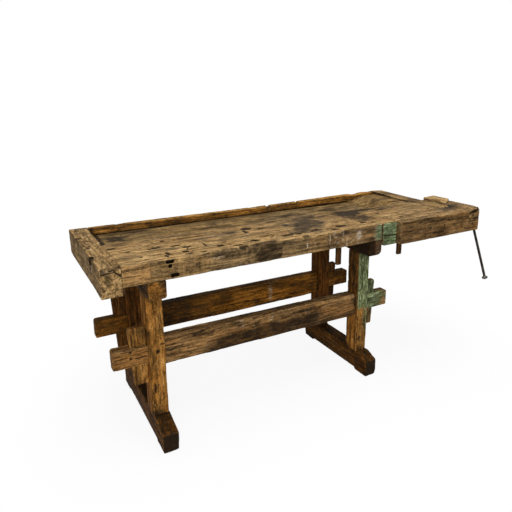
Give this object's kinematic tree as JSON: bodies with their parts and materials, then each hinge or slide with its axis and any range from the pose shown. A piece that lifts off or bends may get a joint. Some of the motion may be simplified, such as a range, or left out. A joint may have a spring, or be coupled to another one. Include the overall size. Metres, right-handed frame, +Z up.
{
  "type": "woodworking bench with tail vise",
  "caption": "Old joiner's workbench: thick slab top with tool tray, sliding tail vise with iron screw and handle, bench dogs, sledge-foot trestles and stretchers with wedge keys.",
  "frame": {"origin": "middle of the footprint of the whole bench, on the floor", "axes": "+X along the bench from the end cap to the vise, +Y from the working front to the back, +Z up"},
  "size_m": [2.0356, 0.7346, 0.812],
  "materials": {
    "worn_top_wood": "bare, stained and heavily worn",
    "tray_wood": "bare, darkened by age",
    "vise_wood": "bare, darkened by age",
    "green_painted_wood": "old sage green paint, worn through",
    "frame_wood": "bare, darkened by age",
    "peg_wood": "bare, darkened by age",
    "dark_iron": "dark, worn and lightly rusted",
    "worn_steel": "worn bright"
  },
  "bodies": {
    "frame": {"left_end_cap": "worn_top_wood", "front_slab": "worn_top_wood", "right_end_board": "worn_top_wood", "tray_floor": "tray_wood", "tray_ramp": "tray_wood", "back_rail": "tray_wood", "vise_nut_block": "vise_wood", "guide_bracket": "vise_wood", "fixed_jaw_block": "green_painted_wood", "front_stretcher": "frame_wood", "rear_stretcher": "frame_wood", "left_front_post": "frame_wood", "left_rear_post": "frame_wood", "right_front_post": "frame_wood", "right_rear_post": "frame_wood", "left_foot": "frame_wood", "left_bearer": "frame_wood", "right_foot": "frame_wood", "right_bearer": "frame_wood", "fixed_jaw_peg": "peg_wood", "nut_block_peg": "peg_wood", "left_bearer_dowel_1": "peg_wood", "left_bearer_dowel_2": "peg_wood", "right_bearer_dowel_1": "peg_wood", "right_bearer_dowel_2": "peg_wood", "left_front_foot_peg": "peg_wood", "left_front_bearer_peg": "peg_wood", "left_rear_foot_peg": "peg_wood", "left_rear_bearer_peg": "peg_wood", "right_front_foot_peg": "peg_wood", "right_front_bearer_peg": "peg_wood", "right_rear_foot_peg": "peg_wood", "right_rear_bearer_peg": "peg_wood", "cap_bolt_nut": "dark_iron", "end_board_screw_1": "dark_iron", "end_board_screw_2": "dark_iron", "vise_nut": "dark_iron", "cap_bolt": "worn_steel"},
    "vise": {"vise_jaw_block": "vise_wood", "vise_front_cheek": "vise_wood", "vise_top_board": "vise_wood", "vise_keeper_strip": "vise_wood", "vise_end_block": "vise_wood", "vise_rear_pad": "worn_top_wood", "vise_guide_runner": "vise_wood", "screw_flange_plate": "dark_iron", "flange_screw_1": "dark_iron", "flange_screw_2": "dark_iron"},
    "screw": {"vise_screw": "dark_iron", "screw_garter": "dark_iron", "garter_pin": "dark_iron"},
    "tommy": {"tommy_bar": "dark_iron", "tommy_knob_upper": "dark_iron", "tommy_knob_lower": "dark_iron"},
    "bench_dog": {"bench_dog": "vise_wood"},
    "vise_dog": {"vise_dog": "vise_wood"},
    "left_front_key": {"left_front_key": "frame_wood"},
    "left_rear_key": {"left_rear_key": "frame_wood"},
    "right_front_key": {"right_front_key": "frame_wood"},
    "right_rear_key": {"right_rear_key": "frame_wood"}
  },
  "joints": [
    {"name": "vise_slide", "type": "slide", "parent": "frame", "child": "vise", "axis": [1, 0, 0], "range_m": [0, 0.15]},
    {"name": "screw_turn", "type": "hinge", "parent": "vise", "child": "screw", "pos_m": [0.99575, -0.22071, 0.743], "axis": [1, 0, 0], "range_deg": [0, 5400]},
    {"name": "tommy_slide", "type": "slide", "parent": "screw", "child": "tommy", "axis": [0, 0.3714, 0.9285], "range_m": [0, 0.323]},
    {"name": "bench_dog_slide", "type": "slide", "parent": "frame", "child": "bench_dog", "axis": [0, 0, 1], "range_m": [0, 0.06]},
    {"name": "vise_dog_slide", "type": "slide", "parent": "vise", "child": "vise_dog", "axis": [0, 0, 1], "range_m": [0, 0.06]},
    {"name": "left_front_key_slide", "type": "slide", "parent": "frame", "child": "left_front_key", "axis": [0, 0, 1], "range_m": [0, 0.12]},
    {"name": "left_rear_key_slide", "type": "slide", "parent": "frame", "child": "left_rear_key", "axis": [0, 0, 1], "range_m": [0, 0.12]},
    {"name": "right_front_key_slide", "type": "slide", "parent": "frame", "child": "right_front_key", "axis": [0, 0, 1], "range_m": [0, 0.12]},
    {"name": "right_rear_key_slide", "type": "slide", "parent": "frame", "child": "right_rear_key", "axis": [0, 0, 1], "range_m": [0, 0.12]}
  ],
  "couplings": [
    {"joint": "vise_slide", "follows": "screw_turn", "m_per_rad": 0.0015915}
  ]
}
